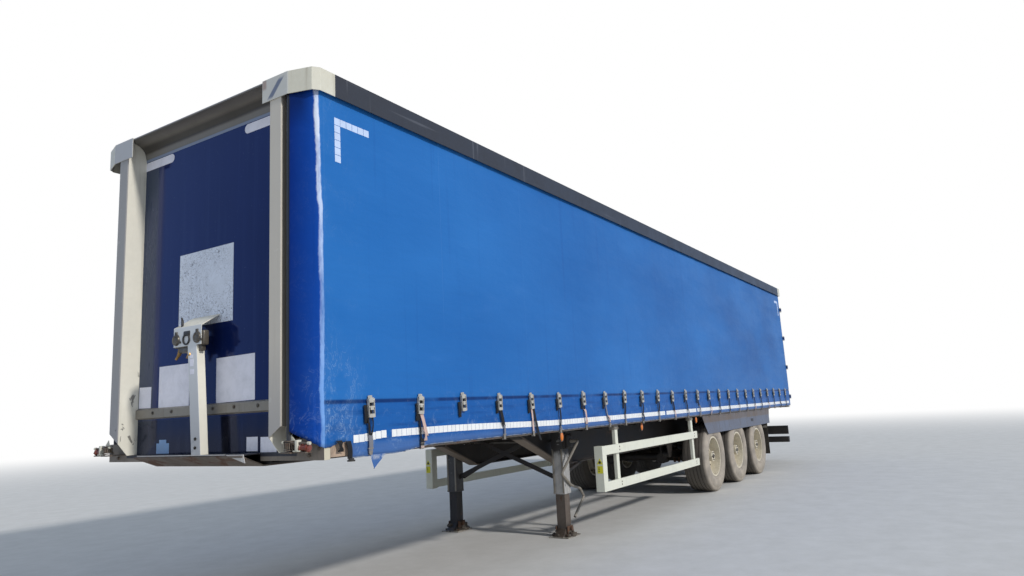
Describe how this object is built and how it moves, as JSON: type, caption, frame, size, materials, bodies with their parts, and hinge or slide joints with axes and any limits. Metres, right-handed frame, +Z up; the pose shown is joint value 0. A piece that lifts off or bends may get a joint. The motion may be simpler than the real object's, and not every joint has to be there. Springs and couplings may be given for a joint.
{
  "type": "curtain-sided semi trailer",
  "caption": "Curtain-sided road semi trailer with a flat deck, steered by its king pin, on three axles, with rear barn doors, parked on its landing legs.",
  "frame": {"origin": "on the ground, at the middle of the length and of the width", "axes": "+X forward to the king pin end, +Y to the trailer's left, +Z up"},
  "size_m": [13.6, 2.55, 3.735],
  "materials": {
    "chassis_paint": "dusty black paint",
    "rusty_steel": "worn, rusty",
    "galvanised": "dull, stained",
    "cream_paint": "faded, streaked",
    "navy_board": "glossy laminate",
    "plywood": "phenolic-faced birch",
    "curtain_blue": "coated PVC",
    "webbing": "worn webbing with steel buckles",
    "roof_white": "translucent sheet",
    "aluminium": "dull",
    "brass": "greasy",
    "tyre": "dusty",
    "wheel_paint": "dirty",
    "air_rubber": "dusty",
    "guard_white": "satin",
    "valance_grey": "dirty",
    "flap_rubber": "matt",
    "door_paint": "faded gloss",
    "lamp_red": "clear moulded lens",
    "lamp_amber": "clear moulded lens",
    "machined_steel": "greased"
  },
  "bodies": {
    "trailer": {"main_rails": "chassis_paint", "cross_members": "chassis_paint", "side_raves": "rusty_steel", "deck": "plywood", "coupler_plate": "rusty_steel", "kingpin": "machined_steel", "front_bolster": "galvanised", "headboard": "navy_board", "headboard_rail": "galvanised", "front_posts": "galvanised", "front_header": "galvanised", "corner_caps": "cream_paint", "cant_rails": "aluminium", "roof_sheet": "roof_white", "roof_bows": "aluminium", "curtain_left": "curtain_blue", "curtain_right": "curtain_blue", "curtain_poles": "aluminium", "curtain_ratchets": "rusty_steel", "side_posts": "aluminium", "curtain_buckles": "webbing", "coupling_stand": "galvanised", "air_couplings": "brass", "leg_sleeves": "chassis_paint", "leg_tubes": "rusty_steel", "leg_bracing": "chassis_paint", "leg_crank": "galvanised", "leg_shaft": "machined_steel", "axles": "chassis_paint", "hangers": "chassis_paint", "air_springs": "air_rubber", "brake_chambers": "chassis_paint", "air_tanks": "galvanised", "side_guards": "guard_white", "wheel_valances": "valance_grey", "mud_flaps": "flap_rubber", "side_markers": "lamp_amber", "rear_frame": "cream_paint", "rear_bumper": "chassis_paint", "rear_lamps": "lamp_red"},
    "left_wheel_1": {"tyre_left_1": "tyre", "wheel_left_1": "wheel_paint"},
    "right_wheel_1": {"tyre_right_1": "tyre", "wheel_right_1": "wheel_paint"},
    "left_wheel_2": {"tyre_left_2": "tyre", "wheel_left_2": "wheel_paint"},
    "right_wheel_2": {"tyre_right_2": "tyre", "wheel_right_2": "wheel_paint"},
    "left_wheel_3": {"tyre_left_3": "tyre", "wheel_left_3": "wheel_paint"},
    "right_wheel_3": {"tyre_right_3": "tyre", "wheel_right_3": "wheel_paint"},
    "left_door": {"door_left": "door_paint", "lock_gear_left": "galvanised"},
    "right_door": {"door_right": "door_paint", "lock_gear_right": "galvanised"}
  },
  "joints": [
    {"name": "left_wheel_1_spin", "type": "hinge", "parent": "trailer", "child": "left_wheel_1", "pos_m": [-1.307, 1.0205, 0.52], "axis": [0, 1, 0], "continuous": true},
    {"name": "right_wheel_1_spin", "type": "hinge", "parent": "trailer", "child": "right_wheel_1", "pos_m": [-1.307, -1.0205, 0.52], "axis": [0, 1, 0], "continuous": true},
    {"name": "left_wheel_2_spin", "type": "hinge", "parent": "trailer", "child": "left_wheel_2", "pos_m": [-2.617, 1.0205, 0.52], "axis": [0, 1, 0], "continuous": true},
    {"name": "right_wheel_2_spin", "type": "hinge", "parent": "trailer", "child": "right_wheel_2", "pos_m": [-2.617, -1.0205, 0.52], "axis": [0, 1, 0], "continuous": true},
    {"name": "left_wheel_3_spin", "type": "hinge", "parent": "trailer", "child": "left_wheel_3", "pos_m": [-3.927, 1.0205, 0.52], "axis": [0, 1, 0], "continuous": true},
    {"name": "right_wheel_3_spin", "type": "hinge", "parent": "trailer", "child": "right_wheel_3", "pos_m": [-3.927, -1.0205, 0.52], "axis": [0, 1, 0], "continuous": true},
    {"name": "left_door_swing", "type": "hinge", "parent": "trailer", "child": "left_door", "pos_m": [-6.781, 1.262, 1.275], "axis": [0, 0, -1], "range_deg": [0, 270]},
    {"name": "right_door_swing", "type": "hinge", "parent": "trailer", "child": "right_door", "pos_m": [-6.781, -1.262, 1.275], "axis": [0, 0, 1], "range_deg": [0, 270]}
  ]
}
